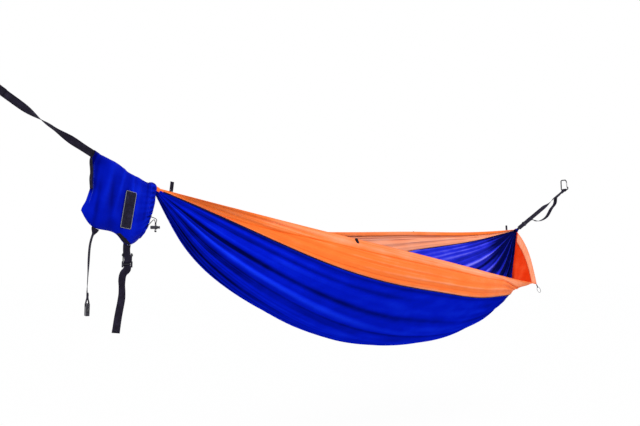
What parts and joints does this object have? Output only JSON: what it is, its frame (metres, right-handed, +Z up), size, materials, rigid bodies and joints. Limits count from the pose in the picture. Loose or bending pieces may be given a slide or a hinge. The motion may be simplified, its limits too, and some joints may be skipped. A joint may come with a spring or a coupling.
{
  "type": "hammock",
  "caption": "Gathered-end camping hammock of thin cloth with side bands, webbing suspension on two carabiners, and its stuff sack left on the head strap.",
  "frame": {"origin": "seat inside the head carabiner's bow, where the head anchor bears", "axes": "+X along the hammock from the head end to the foot end, +Z up, +Y towards the far side"},
  "size_m": [4.0337, 0.5811, 1.0282],
  "materials": {
    "blue_cloth": "thin ripstop nylon, slight sheen",
    "orange_cloth": "thin ripstop nylon, slight sheen",
    "webbing": "woven black webbing",
    "cord": "braided black cord",
    "plastic": "moulded, satin",
    "black_alloy": "black anodised alloy",
    "steel": "stainless wire",
    "patch": "woven patch, bare"
  },
  "bodies": {
    "bed_and_suspension": {"center_panel": "blue_cloth", "near_side_band": "orange_cloth", "far_side_band": "orange_cloth", "foot_end_hem": "orange_cloth", "head_gather_core": "blue_cloth", "foot_gather_core": "blue_cloth", "head_gather_wrap": "webbing", "foot_gather_wrap": "webbing", "tie_loop_near_head": "webbing", "tie_loop_near_mid": "webbing", "tie_loop_far_mid": "webbing", "tie_loop_far_foot": "webbing", "corner_tab": "webbing", "head_strap": "webbing", "foot_strap": "webbing", "foot_strap_tail": "webbing", "head_carabiner": "black_alloy", "stuff_sack": "blue_cloth", "sack_mouth_hem": "blue_cloth", "sack_base_binding": "webbing", "label_patch": "patch", "drawstring_run": "cord", "drawstring_front": "cord", "drawstring_back": "cord", "drawstring_knot": "cord"},
    "head_gate": {"head_gate": "steel"},
    "foot_carabiner": {"foot_carabiner": "black_alloy"},
    "foot_gate": {"foot_gate": "steel"},
    "keeper": {"strap_keeper": "plastic"},
    "closure": {"closure_strap": "webbing", "buckle_male": "plastic"},
    "arm_left": {"buckle_arm_left": "plastic"},
    "arm_right": {"buckle_arm_right": "plastic"},
    "anchor": {"anchor_strap": "webbing"},
    "female": {"buckle_female": "plastic"},
    "cord_lock": {"cord_lock_barrel": "plastic", "cord_lock_spring": "steel"},
    "plunger": {"cord_lock_plunger": "plastic"},
    "ring": {"corner_ring": "steel"}
  },
  "joints": [
    {"name": "head_gate_hinge", "type": "hinge", "parent": "bed_and_suspension", "child": "head_gate", "pos_m": [0.02123, 0, 0.01436], "axis": [0, 1, 0], "range_deg": [0, 30], "stiffness_Nm_per_rad": 0.05, "springref_deg": -8.59},
    {"name": "foot_carabiner_swing", "type": "hinge", "parent": "bed_and_suspension", "child": "foot_carabiner", "pos_m": [4.015, -0.018, 0.05], "axis": [0, 1, 0], "range_deg": [-10, 25]},
    {"name": "foot_gate_hinge", "type": "hinge", "parent": "foot_carabiner", "child": "foot_gate", "pos_m": [4.015, -0.033, 0.107], "axis": [1, 0, 0], "range_deg": [0, 30], "stiffness_Nm_per_rad": 0.05, "springref_deg": -8.59},
    {"name": "keeper_slide", "type": "slide", "parent": "bed_and_suspension", "child": "keeper", "axis": [0.9143, -0.0208, 0.4045], "range_m": [-0.05, 0.06]},
    {"name": "closure_strap_swing", "type": "hinge", "parent": "bed_and_suspension", "child": "closure", "pos_m": [0.52406, 0, -0.48133], "axis": [0.9951, 0, -0.0985], "range_deg": [-35, 35]},
    {"name": "buckle_arm_left_flex", "type": "hinge", "parent": "closure", "child": "arm_left", "pos_m": [0.5137, 0.0031, -0.5312], "axis": [0, 1, 0], "range_deg": [0, 6], "stiffness_Nm_per_rad": 0.05},
    {"name": "buckle_arm_right_flex", "type": "hinge", "parent": "closure", "child": "arm_right", "pos_m": [0.5423, 0.0031, -0.5312], "axis": [0, -1, 0], "range_deg": [0, 6], "stiffness_Nm_per_rad": 0.05},
    {"name": "anchor_strap_swing", "type": "hinge", "parent": "bed_and_suspension", "child": "anchor", "pos_m": [0.41753, 0, -0.43339], "axis": [0.9583, 0, -0.2859], "range_deg": [-30, 30]},
    {"name": "buckle_female_swing", "type": "hinge", "parent": "anchor", "child": "female", "pos_m": [0.4005, 0, -0.663], "axis": [0.2924, 0.9563, 0], "range_deg": [-40, 40]},
    {"name": "cord_lock_slide", "type": "slide", "parent": "bed_and_suspension", "child": "cord_lock", "axis": [0, 0, 1], "range_m": [-0.002, 0.01]},
    {"name": "cord_lock_press", "type": "slide", "parent": "cord_lock", "child": "plunger", "axis": [-0.6947, 0.7193, 0], "range_m": [0, 0.004], "stiffness_N_per_m": 120},
    {"name": "corner_ring_swing", "type": "hinge", "parent": "bed_and_suspension", "child": "ring", "pos_m": [3.07303, -0.20486, -0.65069], "axis": [-0.6425, 0.6685, -0.3746], "range_deg": [-45, 45]}
  ]
}
